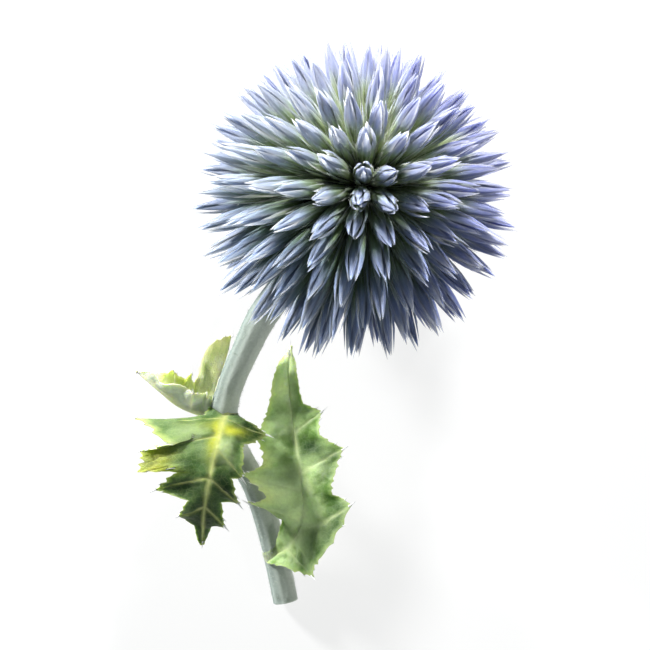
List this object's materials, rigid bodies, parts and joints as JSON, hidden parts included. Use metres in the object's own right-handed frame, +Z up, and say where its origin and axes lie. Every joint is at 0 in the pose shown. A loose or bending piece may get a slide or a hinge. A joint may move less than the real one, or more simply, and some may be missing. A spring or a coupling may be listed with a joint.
{
  "type": "globe thistle flower head",
  "caption": "Picked globe thistle flower head, a ball of pointed blue buds on a short felted stem with lobed leaves, lying on a surface.",
  "frame": {"origin": "bottom centre of the whole flower's box, on the surface that it lies on", "axes": "+Z up; +Y from the stem's cut end towards the head; +X across the flower, to the right when seen from above"},
  "size_m": [0.0536, 0.0802, 0.044],
  "materials": {
    "bracts": "dry pointed bracts, violet blue at the tips, silvery green below, pale keels",
    "stem_felt": "pale grey-green, finely ribbed, covered in white felt",
    "leaf_pale": "satin yellow-green above, grey-green felt below",
    "leaf_green": "satin green with pale veins above, grey-green felt below"
  },
  "bodies": {
    "root": {"flower_head": "bracts", "stem": "stem_felt", "leaf_upper": "leaf_pale", "leaf_middle": "leaf_green", "leaf_right": "leaf_green"}
  },
  "joints": []
}
